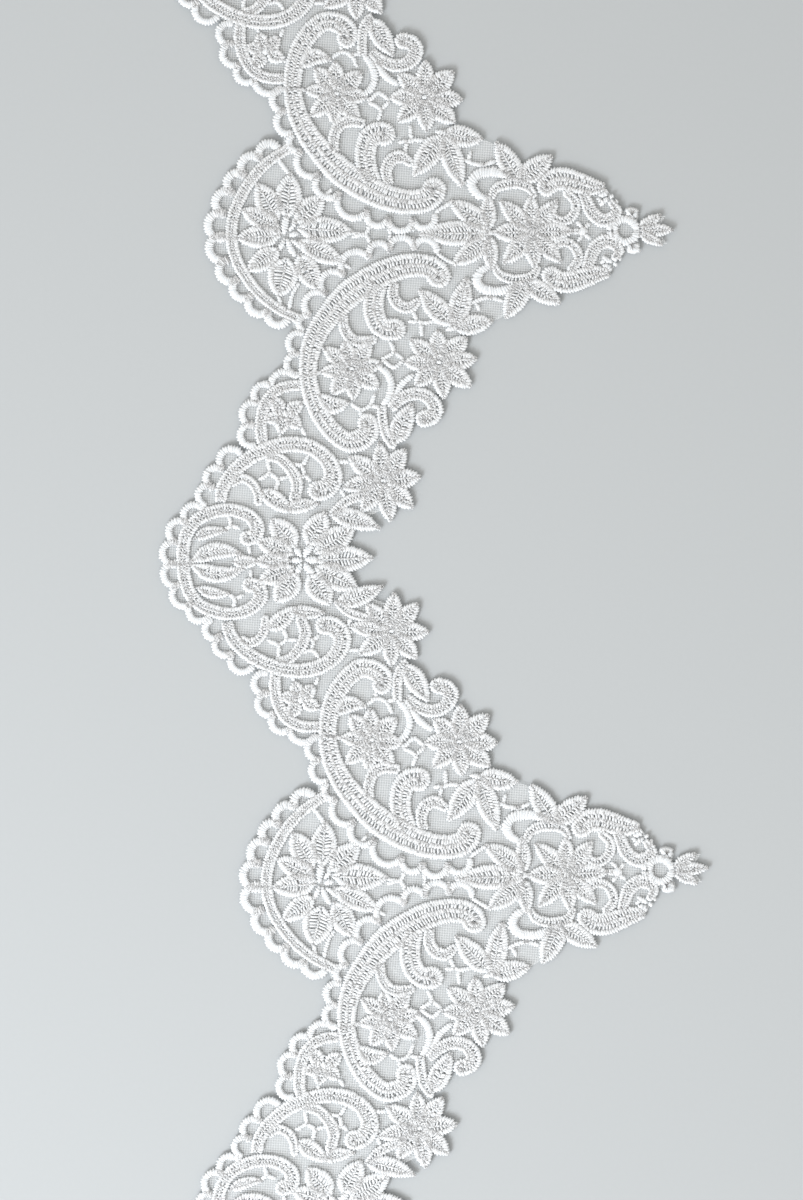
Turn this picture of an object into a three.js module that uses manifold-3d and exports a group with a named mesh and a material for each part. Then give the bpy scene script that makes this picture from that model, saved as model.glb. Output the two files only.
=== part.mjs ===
// A length of embroidered bridal lace trim, lying flat.
// A fine net carries raised white embroidery: medallions along the shallow edge, deep points with
// flowers along the other, and scrolls that swing from each point down into the valleys.
// Millimetres. X runs across the trim, from the picot edge to the points; Y runs along it; Z is up.
import * as THREE from 'three';
import { mergeVertices } from 'three/addons/utils/BufferGeometryUtils.js';
import Module from 'manifold-3d';

const wasm = await Module();
wasm.setup();

// The pattern mirrors about the middle of each point and about the middle of each valley, so one
// half repeat is charted. "Across" is 0 at the medallion's edge; "along" is 0 at the point's middle.
const halfRepeat = 81.25;
const trimLength = 4 * halfRepeat;
const headAbove = 66.75;                 // from the cut end down to the middle of the first point
const firstPoint = trimLength / 2 - headAbove;

// How the length lies: it leans and its points swing a little as it goes down.
const firstEdgeX = -53.9;                // across 0 at the first point
const lean = 0.054;                      // sideways for each millimetre down
const swingStart = 0.9;                  // degrees at the first point
const swingGrowth = 0.0092;              // degrees more for each millimetre down
const pulls = [1.1, 1.1, 1.1, 0.1, 0.1];  // the middle of each half repeat is pulled up by this
const sways = [0, 0, 0, 0.9, 0.4];       // and sideways by this
const pullFrom = -19;
const pullOver = 40;

// Walls.
const netThickness = 1;
const seamGap = 0.3;
const reliefThickness = 1;
const reliefBase = netThickness + seamGap;
const reliefTolerance = 0.35;            // how far an outline may cut a shallow curve
const netTolerance = 0.35;

const cordWidth = 2.3;                   // of the picots' cord
const smallestHole = 0.5;                // square millimetres; a smaller one is worked shut

// ---- marks: each gives its outline in chart millimetres, optionally grown all round ----

// A band of stitching along a smooth line; each point is [across, along, width].
function band(points, steps = points.length - 1) {
  const knots = points.map((p) => new THREE.Vector3(...p));
  const line = new THREE.CatmullRomCurve3(knots, false, 'centripetal');
  const outline = (grow) => {
    const left = [];
    const right = [];
    for (let i = 0; i <= steps; i += 1) {
      const here = line.getPoint(i / steps);
      const ahead = line.getPoint(Math.min(1, (i + 0.5) / steps));
      const behind = line.getPoint(Math.max(0, (i - 0.5) / steps));
      const dir = new THREE.Vector2(ahead.x - behind.x, ahead.y - behind.y).normalize();
      const half = here.z / 2 + grow;
      left.push([here.x - dir.y * half, here.y + dir.x * half]);
      right.push([here.x + dir.y * half, here.y - dir.x * half]);
      if (i === steps) left.push([here.x + dir.x * half * 0.8, here.y + dir.y * half * 0.8]);
      if (i === 0) right.push([here.x - dir.x * half * 0.8, here.y - dir.y * half * 0.8]);
    }
    const start = right.splice(1, 1)[0];
    return [[...left, ...right.reverse(), start]];
  };
  return { outline };
}

// An almond leaf or petal from its base to its tip; bow pushes its middle to one side.
function leaf(u0, v0, u1, v1, width, bow = 0) {
  const stations = [[0, 0.35], [0.32, 1], [0.7, 0.85]];
  const outline = (grow) => {
    const dir = new THREE.Vector2(u1 - u0, v1 - v0);
    const length = dir.length();
    dir.normalize();
    const side = (sign) => stations.map(([t, share]) => {
      const off = sign * (share * width / 2 + grow) + 4 * bow * t * (1 - t);
      const run = t * (length + 2 * grow) - grow;
      return [u0 + dir.x * run - dir.y * off, v0 + dir.y * run + dir.x * off];
    });
    const tip = [u1 + dir.x * grow, v1 + dir.y * grow];
    return [[...side(1), tip, ...side(-1).reverse()]];
  };
  return { outline };
}

function disc(u, v, radius, sides = 6) {
  const outline = (grow) => {
    const ring = [];
    for (let i = 0; i < sides; i += 1) {
      const turn = 2 * Math.PI * i / sides;
      ring.push([u + (radius + grow) * Math.cos(turn), v + (radius + grow) * Math.sin(turn)]);
    }
    return [ring];
  };
  return { outline };
}

// A picot: a round scallop on two feet, standing out to the left of the walk by its reach.
function picot(footA, footB, reach) {
  const steps = 4;
  const a = new THREE.Vector2(...footA);
  const b = new THREE.Vector2(...footB);
  const chord = a.distanceTo(b);
  const radius = (chord * chord / 4 + reach * reach) / (2 * reach);
  const out = new THREE.Vector2(b.y - a.y, a.x - b.x).normalize();
  const centre = a.clone().add(b).multiplyScalar(0.5).addScaledVector(out, reach - radius);
  const from = Math.atan2(a.y - centre.y, a.x - centre.x);
  const span = 2 * Math.atan2(chord / 2, radius - reach);
  const outline = (grow) => {
    const arc = [];
    for (let i = 0; i <= steps; i += 1) {
      const turn = from + span * i / steps;
      const reached = radius + cordWidth / 2 + grow;
      arc.push([centre.x + reached * Math.cos(turn), centre.y + reached * Math.sin(turn)]);
    }
    return [arc];
  };
  return { outline };
}

// Picots in a row share their feet: [[across, along, reach of the picot that starts here], ...].
function picots(feet) {
  return feet.slice(1).map((foot, i) => picot(feet[i].slice(0, 2), foot.slice(0, 2), feet[i][2]));
}

// A flower: petals from its middle out to their tips, each [across, along, width].
function flower(u, v, heart, petals) {
  return [
    disc(u, v, heart, 8),
    ...petals.map(([tipU, tipV, width]) => leaf(u, v, tipU, tipV, width)),
  ];
}

// ---- the chart of one half repeat ----

const medallionRing = [
  band([[2.9, -0.4, 3.3], [3.2, 3, 3.3], [4, 6.3, 3.3], [5.6, 9.8, 3.3], [8.2, 13.9, 3],
    [12.2, 17.8, 2.6], [15, 19.7, 2.4], [18, 21.3, 2.4]]),
  ...picots([[16.2, 21, 3], [11.6, 18.6, 3.4], [7.7, 14.5, 3.6], [4.6, 10.4, 4], [2.4, 5.5, 4.8],
    [2.1, 0, 0]]),
];

// This flower is turned a little, so it is charted whole.
const medallionFlower = [
  leaf(15, 0.2, 4.4, -0.4, 5.2),
  leaf(15, 2, 6, 6.8, 4.8),
  leaf(14.9, 4.4, 10.2, 13.1, 5.6),
  leaf(17.4, 5, 18.7, 15.4, 6),
  leaf(19.6, 3.6, 26.9, 9.6, 5.4),
  leaf(20.4, 1.8, 33.7, 0.8, 6),
  leaf(20.2, -1.4, 31, -7.2, 5),
  leaf(20, -5, 23.9, -14, 5.4),
  leaf(16.6, -6, 14, -15.4, 6.8),
  leaf(14.6, -3.4, 6.6, -8.7, 4.8),
  disc(17.2, -0.2, 5, 12),
];

const pointFlower = [
  disc(78.3, 0.4, 3.4, 8),
  leaf(78, 0.4, 67.6, 0.4, 4.6),
  leaf(78, 0.6, 70.6, 8, 4.4),
  leaf(78.3, 0.5, 78.5, 9.5, 4),
  leaf(78.6, 0.5, 85.2, 8, 4.2),
  leaf(78.6, 0.4, 89, 0.4, 4.2),
  disc(67.5, 0.4, 1.5, 8),
  leaf(67.5, 0.5, 50.2, 0.6, 5.2),
  leaf(67.5, 1.2, 58, 8.1, 4.8, -0.2),
  leaf(67.6, 1, 67.6, 9.9, 3.4),
  disc(90.9, 0.3, 1.4, 8),
  band([[88, 0.3, 1.2], [91, 0.3, 1.2]], 1),
];

const pointTip = [
  band([[98.8, -0.2, 2], [99.5, 2, 2], [101.6, 3, 2], [103.8, 2, 2], [104.7, -0.2, 2]]),
  band([[96.9, 0.6, 1.6], [98.9, 1.1, 1.8]], 1),
  leaf(102.2, 2.2, 104.3, 5.8, 4.2),
  leaf(104.6, 0, 113.8, 0, 3.8),
  leaf(105, 0.6, 111.9, 3.6, 3.2, -0.2),
];

const pointSide = [
  band([[66.9, 8.6, 1.8], [64.9, 9.9, 2.2], [63.9, 12.3, 2.4], [65.4, 14.4, 2.4], [68.5, 15.1, 2.4],
    [71.6, 14.6, 2.2], [74.5, 13, 2]]),
  leaf(69.6, 10.3, 77.6, 12, 3, 0.7),
  leaf(76, 12.6, 70.4, 22.4, 5),
  leaf(76, 12.8, 84.4, 18.8, 4.8),
  band([[75.5, 12.6, 2], [80.8, 12.2, 2]], 1),
  disc(82.4, 10.7, 2.2),
  band([[81.9, 12, 3], [84, 13.1, 3.8], [87.4, 12.9, 4.4], [91.6, 11.8, 4], [96.8, 11, 1.6]]),
  band([[86.8, 4.3, 1.8], [89, 4.6, 2], [90, 6.9, 2], [88.8, 9.4, 2], [86.6, 10.4, 2]]),
  band([[93.4, 5.4, 2.4], [92.2, 7.6, 2.6], [91.2, 10.4, 2.6]], 3),
  band([[93.2, 6, 2.2], [94.3, 3.4, 2.2], [96.6, 2.5, 2.2], [98.9, 3.5, 2.2], [99.5, 5.6, 2],
    [98, 7.4, 1.8]]),
  disc(97.4, 8.6, 1.3, 6),
];

const scroll = [
  band([[54.3, 12.6, 4], [54.9, 10, 4.4], [53, 8.2, 5], [50, 7.8, 5.6], [46, 8.1, 5.8],
    [42, 9.3, 6.1], [38, 11.2, 6.4], [34.8, 13.1, 6.5], [32, 15, 6.5], [29, 17.8, 6.1],
    [26.2, 21, 5.6], [23.8, 24.2, 5.2], [22.1, 27.5, 4.9], [20.9, 31, 4.6], [20.3, 35, 4],
    [20.7, 39.5, 4.3], [21.7, 43.3, 4.4], [23.4, 47, 4.5], [26.2, 50.6, 4.6], [30, 53, 4.7],
    [33.4, 52, 4.4], [35, 49.6, 4]]),
  disc(54.4, 12.2, 2.9),
  disc(34.1, 48.3, 3),
  band([[42, 11.6, 4.6], [39.4, 14.5, 5.8], [38, 18, 6], [38, 21.6, 6], [39.3, 24.6, 5.6],
    [42.4, 25.2, 5]]),
  disc(43.9, 24.8, 2.9),
  band([[44.6, 12.2, 2.4], [43.6, 15.5, 2.6], [44.5, 17.9, 2.6], [47, 18.9, 2.4], [49.6, 18.7, 1.6]]),
  band([[30.4, 20.4, 2.2], [30.8, 23.4, 2.4], [32.2, 25.5, 2.4], [34.3, 26.1, 2.4], [36.8, 25.6, 2]]),
  ...picots([[18.4, 35.4, 3], [18.7, 30.4, 3], [20, 25.2, 0]]),
  ...picots([[18.8, 24.8, 2.3], [22.4, 20.2, 3.2], [26.7, 15.1, 3], [31.6, 10.9, 3.4],
    [37.6, 7.3, 3.6], [43, 5.4, 3], [48.6, 4.8, 0]]),
];

const firstFlower = [
  ...flower(31.4, 34.6, 2, [[30, 27.2, 3.8], [36.6, 27.7, 3.9], [39.1, 33.4, 3.6], [38, 39.8, 4.2],
    [31.4, 42.7, 3.8], [26, 41.1, 4.2], [23.3, 35.4, 3.2], [24.4, 29, 3.8]]),
  leaf(30.4, 42.6, 23.7, 42.3, 3.6, 1.2),
];

const secondFlower = flower(53.3, 33.4, 2.2, [[62.8, 32.7, 4.4], [60.6, 27, 4.6], [53.3, 24.9, 4],
  [46.2, 27.4, 4.2], [44.4, 33.4, 4], [46.9, 39.4, 4.2], [54, 42.8, 4], [60.9, 39.9, 4.6]]);

const thirdFlower = [
  ...flower(37.8, 62.3, 2.2, [[37.2, 53, 3.9], [43.7, 54.8, 4.4], [47.2, 61.7, 4.3],
    [44.8, 69.3, 4.3], [39, 72.4, 4.2], [31.9, 69.7, 4.2], [27.2, 63.9, 4], [29.3, 56.3, 4.4]]),
  band([[34.6, 65.4, 2], [30, 66.4, 2.2], [27, 67.9, 2.2], [25, 69.8, 2]]),
  leaf(24.4, 70.2, 36.4, 74.1, 4.4, -0.5),
];

const sprig = [
  leaf(57.6, 24.6, 49.3, 14.3, 5.2),
  leaf(57.6, 24.6, 61.4, 11.4, 5),
  leaf(56.6, 25.2, 67.4, 23, 4.6, -0.3),
];

const bud = [
  band([[40.3, 53.6, 2], [38.9, 49.8, 2.4], [38.6, 46, 2.4], [39.8, 42.6, 2.4], [42.6, 39.7, 2.4],
    [45.6, 37.3, 2.2]]),
  band([[39.4, 43, 1.8], [39.5, 39, 1.8], [38.9, 36.4, 1.8]], 4),
  band([[40.4, 45, 2.6], [43, 42.7, 2.8], [46, 41.4, 3], [49.2, 41.8, 3], [51.3, 43.9, 3],
    [51.4, 46.6, 2.8], [49.9, 48.2, 2.4]]),
  disc(49, 46.9, 2.3),
  leaf(40.8, 53.4, 46, 43.6, 4.8),
];

const picotArch = [
  band([[18.6, 38, 2.4], [14.5, 38.2, 2.4], [11.3, 39.5, 2.4], [8.9, 42.3, 2.6], [7.6, 46, 2.6],
    [7.3, 50, 2.6], [7.8, 52.4, 2.4]]),
  ...picots([[6, 52.3, 3.5], [6.4, 47.8, 3.5], [7.4, 42.4, 2.5], [10.9, 38.6, 2.5], [17.4, 36.3, 0]]),
  ...flower(14.2, 45.4, 1.6, [[10.8, 41.3, 3.4], [18.7, 42.9, 3.2], [9.2, 46.8, 2.8],
    [12.6, 50.2, 3.2], [17.8, 49, 3.2]]),
];

const outerScroll = [
  band([[-3.4, 66.4, 3], [-2.8, 63, 3.4], [-1, 60.2, 3.6], [2, 57.4, 3.8], [6, 54.8, 3.9],
    [10.5, 53.2, 4], [15, 52.7, 4], [19.5, 53.4, 4.1], [23, 55.6, 4.1], [25.3, 58.9, 4.1],
    [25.4, 62, 4.6], [23.2, 64, 5.2]]),
  disc(21.3, 63.8, 3.1),
  band([[-0.4, 62, 2], [2.4, 60.7, 2.2], [4.9, 61.9, 2.2], [6.2, 64.3, 2.2], [6.3, 66.6, 2]]),
  band([[8.6, 55.6, 2], [12, 56.2, 2.6], [14, 58, 2.6], [15.6, 60.4, 2.8], [16.2, 63, 2.8],
    [15.4, 66, 2.8]]),
  leaf(7, 64, 14.6, 69.6, 4, -0.3),
  leaf(13, 68.6, 21.6, 67.6, 3, -0.3),
  ...picots([[-6.6, 67, 2.9], [-4.4, 63, 3.2], [-1.9, 58.7, 3.2], [2.8, 55, 0]]),
];

const fan = [
  band([[-13.5, 81.7, 3.3], [-13.4, 78, 3.3], [-12.3, 74, 3.2], [-9.8, 70.8, 3.1], [-6.4, 69, 3],
    [-2.6, 68.2, 3], [1, 68.5, 3], [4, 70, 3], [5.4, 72.6, 3], [4.6, 74.8, 3]]),
  disc(3.4, 73.8, 2.7),
  leaf(-11.6, 76, -1.6, 74.4, 3, 1),
  leaf(-13, 81, 3.4, 78.6, 4.9, 1.1),
  leaf(-4, 81.25, 5, 81.25, 3.4),
  ...picots([[-14.6, 81.3, 3.7], [-14.1, 76.2, 3.6], [-11.4, 71.7, 3], [-7.4, 68.5, 0]]),
];

const valleyFlower = [
  disc(16.8, 81.25, 4.2, 12),
  leaf(16, 80.4, 5.3, 76.2, 4.6),
  leaf(16.4, 79.5, 9.2, 70.8, 5.4),
  leaf(17.2, 79.4, 22.9, 69.6, 5.4),
  leaf(17.8, 80.4, 29.9, 73.6, 5.6),
  leaf(17, 81.25, 34.2, 81.25, 5.4),
  leaf(16.4, 81.25, 5.6, 81.25, 3),
];

// Net between the motifs, inside the cords that edge it.
const netField = [[2, -1], [2.5, 5], [4.5, 10], [8, 15], [13, 19.5], [18.5, 23.5], [19.5, 29],
  [19, 36], [12, 39.5], [8, 44], [6.5, 51], [1, 57], [-3, 63], [-8, 69], [-12, 73], [-14, 78],
  [-14, 82.25], [32, 82.25], [28, 77.5], [28, 74.5], [31, 72], [38, 69], [42, 66], [43, 61],
  [41.5, 56], [41, 53], [45, 49], [49, 47], [51, 42], [55, 39.5], [57, 36], [58, 31], [59, 26.5],
  [64, 24], [67.4, 23], [70.4, 21.6], [73, 18], [77, 15], [81, 13.5], [92, 12], [95, 9.5], [97.6, 7],
  [99, 4], [103, 3], [105.5, 1], [105.5, -1]];

// ---- laying the chart out along the trim ----

// Halves run upwards and downwards from each point in turn; the last is cut off past the end valley.
const halves = [0, 1, 2, 3, 4].map((i) => ({
  middle: firstPoint - 2 * halfRepeat * Math.floor(i / 2),
  down: i % 2 === 0 ? -1 : 1,
  pull: pulls[i],
  sway: sways[i],
}));

function lay(u, v, half) {
  const along = half.middle - half.down * v;
  const below = firstPoint - along;
  const swing = THREE.MathUtils.degToRad(swingStart + swingGrowth * below);
  const share = THREE.MathUtils.clamp((u - pullFrom) / pullOver, 0, 1);
  const loose = Math.sin(Math.PI * v / halfRepeat) ** 2;
  return new THREE.Vector2(
    firstEdgeX + lean * below + u * Math.cos(swing) + half.sway * loose,
    along + u * Math.sin(swing) + half.pull * share * loose,
  );
}

function wall(polygon, half, base, thickness) {
  const points = polygon.map(([u, v]) => lay(u, v, half));
  if (THREE.ShapeUtils.isClockWise(points)) points.reverse();
  const shape = new THREE.Shape(points);
  const solid = new THREE.ExtrudeGeometry(shape, { depth: thickness, bevelEnabled: false });
  return toManifold(solid.translate(0, 0, base));
}

function toManifold(geometry) {
  geometry.deleteAttribute('normal');
  geometry.deleteAttribute('uv');
  const merged = mergeVertices(geometry, 1e-4);
  return new wasm.Manifold(new wasm.Mesh({
    numProp: 3,
    vertProperties: new Float32Array(merged.attributes.position.array),
    triVerts: new Uint32Array(merged.index.array),
  }));
}

// The closed outlines of a flat wall, read from its top face.
function loopsOf(solid, top) {
  const { vertProperties: at, triVerts: corners } = solid.getMesh();
  const next = new Map();
  for (let i = 0; i < corners.length; i += 3) {
    const face = [corners[i], corners[i + 1], corners[i + 2]];
    if (face.some((c) => Math.abs(at[3 * c + 2] - top) > 1e-3)) continue;
    face.forEach((c, k) => next.set(`${c} ${face[(k + 1) % 3]}`, [c, face[(k + 1) % 3]]));
  }
  const follow = new Map();
  for (const [a, b] of next.values()) {
    if (!next.has(`${b} ${a}`)) follow.set(a, b);
  }
  const loops = [];
  while (follow.size > 0) {
    const loop = [];
    let here = follow.keys().next().value;
    while (follow.has(here)) {
      loop.push(new THREE.Vector2(at[3 * here], at[3 * here + 1]));
      const ahead = follow.get(here);
      follow.delete(here);
      here = ahead;
    }
    loops.push(loop);
  }
  return loops;
}

// Drops the points of an outline that lie within a tolerance of a straight run.
function trimmed(points, tolerance) {
  const keep = (from, to) => {
    const run = points[to % points.length].clone().sub(points[from]);
    let worst = tolerance;
    let at = -1;
    for (let i = from + 1; i < to; i += 1) {
      const offset = points[i].clone().sub(points[from]);
      const along = THREE.MathUtils.clamp(offset.dot(run) / run.lengthSq(), 0, 1);
      const gap = offset.addScaledVector(run, -along).length();
      if (gap > worst) [worst, at] = [gap, i];
    }
    return at < 0 ? [points[from]] : [...keep(from, at), ...keep(at, to)];
  };
  const far = points.reduce((best, p, i) => (
    p.distanceTo(points[0]) > points[best].distanceTo(points[0]) ? i : best), 0);
  return [...keep(0, far), ...keep(far, points.length)];
}

// A flat wall made again from its outlines, with only the points that its shape needs.
function wallGeometry(solid, base, thickness, tolerance, keepHoles) {
  const area = THREE.ShapeUtils.area;
  const loops = loopsOf(solid, base + thickness).map((loop) => trimmed(loop, tolerance));
  const [rim] = loops.sort((a, b) => area(b) - area(a));
  const holes = loops.filter((loop) => area(loop) < -smallestHole);
  const shape = new THREE.Shape(rim);
  if (keepHoles) shape.holes = holes.map((hole) => new THREE.Path(hole));
  const geometry = new THREE.ExtrudeGeometry(shape, { depth: thickness, bevelEnabled: false });
  return geometry.translate(0, 0, base);
}

function joined(solids) {
  return solids.reduce((all, solid) => all.add(solid));
}

// The straight cuts at both ends.
const cutSize = 400;
const length = toManifold(new THREE.BoxGeometry(cutSize, trimLength, cutSize));

// ---- the pieces ----

const perPoint = [
  ['medallion_ring', medallionRing],
  ['point_flower', pointFlower],
  ['point_tip', pointTip],
];
const perHalf = [
  ['scroll', scroll],
  ['picot_arch', picotArch],
  ['outer_scroll', outerScroll],
  ['point_side', pointSide],
  ['first_flower', firstFlower],
  ['second_flower', secondFlower],
  ['third_flower', thirdFlower],
  ['sprig', sprig],
  ['bud', bud],
];
const perValley = [
  ['fan', fan],
  ['valley_flower', valleyFlower],
];

const wholeAtPoint = [
  ['medallion_flower', medallionFlower],
];

// Worked past the last valley too, as far as the cut.
const atEnd = [
  ['outer_scroll_5', outerScroll, [halves[4]]],
  ['third_flower_5', thirdFlower, [halves[4]]],
];

// Each piece: its name, its marks and the halves that it is worked in.
const pieces = [
  ...perHalf.flatMap(([name, marks]) => [0, 1, 2, 3].map((i) => (
    [`${name}_${i + 1}`, marks, [halves[i]]]))),
  ...wholeAtPoint.flatMap(([name, marks]) => [0, 1].map((i) => (
    [`${name}_${i + 1}`, marks, [halves[2 * i]]]))),
  ...perPoint.flatMap(([name, marks]) => [0, 1].map((i) => (
    [`${name}_${i + 1}`, marks, halves.slice(2 * i, 2 * i + 2)]))),
  ...perValley.flatMap(([name, marks]) => [0, 1].map((i) => (
    [`${name}_${i + 1}`, marks, halves.slice(2 * i + 1, 2 * i + 3)]))),
  ...atEnd,
];

function relief(marks, worked, grow) {
  return joined(worked.flatMap((half) => marks.flatMap((mark) => mark.outline(grow)
    .map((line) => wall(line, half, reliefBase, reliefThickness)))));
}

const satin = { color: 0xf3f3f1, roughness: 0.6, metalness: 0 };
const trim = new THREE.Group();

function addMesh(name, geometry, look) {
  const mesh = new THREE.Mesh(geometry, new THREE.MeshStandardMaterial(look));
  mesh.name = name;
  trim.add(mesh);
}

// Embroidery, each piece trimmed clear of those laid before it.
let laid = null;
for (const [name, marks, worked] of pieces) {
  let solid = relief(marks, worked, 0).intersect(length);
  if (laid) solid = solid.subtract(laid);
  addMesh(name, wallGeometry(solid, reliefBase, reliefThickness, reliefTolerance, true), satin);
  const grown = relief(marks, worked, seamGap + reliefTolerance);
  laid = laid ? laid.add(grown) : grown;
}

// The net: one wall under all of it, out to the outer cords.
const netWalls = pieces.flatMap(([, marks, worked]) => worked.flatMap((half) => (
  marks.flatMap((mark) => mark.outline(0).map((line) => wall(line, half, 0, netThickness))))));
const fieldWalls = halves.map((half) => wall(netField, half, 0, netThickness));
const net = joined([...fieldWalls, ...netWalls]).intersect(length);
addMesh('net_ground', wallGeometry(net, 0, netThickness, netTolerance, false),
  { color: 0xdfe2e3, roughness: 0.8, metalness: 0 });

// The origin is under the middle of the whole.
const middle = new THREE.Box3().setFromObject(trim).getCenter(new THREE.Vector3());
for (const mesh of trim.children) mesh.geometry.translate(-middle.x, -middle.y, 0);

export default trim;
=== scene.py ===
import math
import bmesh
import bpy
import numpy as np
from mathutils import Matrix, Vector


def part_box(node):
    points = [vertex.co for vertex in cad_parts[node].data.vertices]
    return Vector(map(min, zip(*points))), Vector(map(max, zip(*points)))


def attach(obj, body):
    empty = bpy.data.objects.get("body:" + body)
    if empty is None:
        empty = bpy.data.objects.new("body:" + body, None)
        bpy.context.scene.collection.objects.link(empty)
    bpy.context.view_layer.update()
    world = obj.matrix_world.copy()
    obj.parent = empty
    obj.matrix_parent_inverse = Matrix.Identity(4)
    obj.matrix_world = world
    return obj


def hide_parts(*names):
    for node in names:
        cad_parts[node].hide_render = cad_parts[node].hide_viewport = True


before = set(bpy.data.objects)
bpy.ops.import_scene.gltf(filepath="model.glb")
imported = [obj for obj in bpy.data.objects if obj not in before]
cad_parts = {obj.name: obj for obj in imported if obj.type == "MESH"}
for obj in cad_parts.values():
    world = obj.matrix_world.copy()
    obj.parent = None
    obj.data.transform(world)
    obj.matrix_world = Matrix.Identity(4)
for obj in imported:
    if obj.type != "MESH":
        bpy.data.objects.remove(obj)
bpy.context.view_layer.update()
mm = 0.001
tiny = 1e-6
random = np.random.default_rng(19)
print("frame loaded")

# One half repeat is charted: "across" from the medallion's edge, "along" from the middle of a point.

layout = {
    "halfRepeat": 81.25,
    "firstPoint": 95.75,        # Y of the middle of the first point
    "cutEnd": 162.5,            # Y of the upper cut, and -Y of the lower one
    "firstEdge": -53.767,       # X of the medallion's edge at the first point
    "lean": 0.054,              # sideways for each millimetre down
    "swingStart": 0.9,          # degrees
    "swingGrowth": 0.0092,      # degrees more for each millimetre down
    "pulls": [1.1, 1.1, 1.1, 0.1, 0.1],
    "sways": [0.0, 0.0, 0.0, 0.9, 0.4],
    "pullFrom": -19.0,          # across, where the pull starts, and how far it takes to grow
    "pullOver": 40.0,
}

halves = [{
    "middle": layout["firstPoint"] - 2 * layout["halfRepeat"] * (i // 2),
    "down": -1 if i % 2 == 0 else 1,
    "pull": pull,
    "sway": sway,
} for i, (pull, sway) in enumerate(zip(layout["pulls"], layout["sways"]))]

drape = {
    "rise": 0.12,               # the cloth never lies quite flat
    "ripple": 0.16,
    "longWave": 31.0,
    "longShare": 0.6,
    "shortWave": 17.0,
    "shortShare": 0.4,
    "askew": 1.3,
    "starts": (0.7, 0.3, 1.1),  # where the waves start, radians
}


def lift(x, y):
    first, second, third = drape["starts"]
    long = np.sin(x / drape["longWave"] + first) * np.sin(y / drape["longWave"] + second)
    askew = (x - drape["askew"] * y) / drape["shortWave"]
    short = np.sin((x + y) / drape["shortWave"]) * np.sin(askew + third)
    waves = 1 + drape["longShare"] * long + drape["shortShare"] * short
    return drape["rise"] + drape["ripple"] * waves


def lay(points, half):
    # takes charted points to their place on the length
    u, v, z = points.T
    along = half["middle"] - half["down"] * v
    below = layout["firstPoint"] - along
    swing = np.radians(layout["swingStart"] + layout["swingGrowth"] * below)
    share = np.clip((u - layout["pullFrom"]) / layout["pullOver"], 0, 1)
    loose = np.sin(np.pi * v / layout["halfRepeat"]) ** 2
    x = layout["firstEdge"] + layout["lean"] * below + u * np.cos(swing) + half["sway"] * loose
    y = along + u * np.sin(swing) + half["pull"] * share * loose
    return np.stack([x, y, z + lift(x, y)], axis=1)


thread = {
    "pitch": 0.7,               # satin stitches lie this far apart
    "ringsPerStitch": 3,
    "fewestRings": 6,
    "sides": 6,
    "slant": 0.22,
    "squareness": 0.6,          # 1 is a round cord, less is flatter on top
    "waist": 0.4,               # how high the widest place is, as a share of the height
    "crease": 0.24,             # how far it goes down, as a share of the height
    "groove": 0.33,             # how far the crease between two stitches goes in
    "grooveShare": 0.4,         # and how much of the half width it may take
    "swell": 0.04,
    "wobble": 0.07,
    "endStart": 0.3,            # the round end of a cord
    "endGrowth": 0.6,
    "narrowest": 0.12,
    "base": 0.42,               # underside of the stitches
    "rimTop": 1.18,
    "ribTop": 1.12,
    "fullness": 1.12,           # bands and cords swell to this share of their charted width
    "bridge": 1.2,
    "bridgeTop": 1.0,
}

bar = {
    "pitch": 0.78,              # single threads across the open rows
    "radius": 0.28,
    "top": 1.02,
    "fewest": 3,
    "sides": 4,
    "rings": 3,
    "swell": 1.3,
    "sag": 0.1,
    "unevenRadius": 0.14,
    "unevenTop": 0.06,
}

rail = {
    "spacing": 1.0,
    "fewestRings": 6,
    "rim": 0.74,                # a rim's width, and how it grows with the band's
    "rimGrowth": 0.145,
    "broad": 3.0,               # a band this wide has a rib
    "ribGrowth": 0.31,
    "ribLess": 0.5,
    "thinnestRib": 0.45,
    "endPoints": 5,
    "lean": 0.35,
    "uneven": 0.1,
    "openEnd": 1.0,             # an end that reaches further has spokes
    "spokes": 4,                # for each millimetre of reach
    "hub": 0.2,
}

leaf = {
    "stations": [0, 0.08, 0.2, 0.34, 0.5, 0.66, 0.8, 0.91, 1],
    "widths": [0.3, 0.56, 0.86, 1.0, 0.98, 0.85, 0.62, 0.36, 0.08],
    "start": -0.06,
    "points": 12,
    "fullness": 1.2,
    "rim": 0.62,
    "rimGrowth": 0.2,
    "widestRim": 1.9,
    "thinnest": 0.05,
    "taper": 0.35,              # how much of its width a rim loses at the tip and at the foot
    "tipFrom": 0.8,
    "footTo": 0.15,
    "open": 3.1,                # a leaf this wide has open rows
    "closedRib": (0.1, 0.9, 5),  # where along it the rib starts and ends, and its points
    "closedLeast": 0.6,
    "closedOverlap": 0.4,
    "rib": (0.04, 0.9, 6),
    "ribWidth": 0.55,
    "barsFrom": 0.12,
    "barsOver": 0.74,
    "uneven": 0.008,
    "onward": 0.06,
    "lastBar": 0.97,
}

picot = {
    "width": 2.0,
    "top": 1.24,
    "pitch": 0.6,
    "slant": 0.05,
    "points": 9,
}

curveSteps = 12                 # between two points of a charted line


def newCloth():
    return {"points": [], "faces": [], "strands": [], "count": 0}


def addPart(cloth, points, faces, strands):
    cloth["points"].append(points)
    cloth["faces"].append(faces + cloth["count"])
    cloth["strands"].append(strands)
    cloth["count"] += len(points)


def runAlong(line):
    steps = np.linalg.norm(np.diff(line, axis=0), axis=1)
    return np.concatenate([[0], np.cumsum(steps)])


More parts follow.
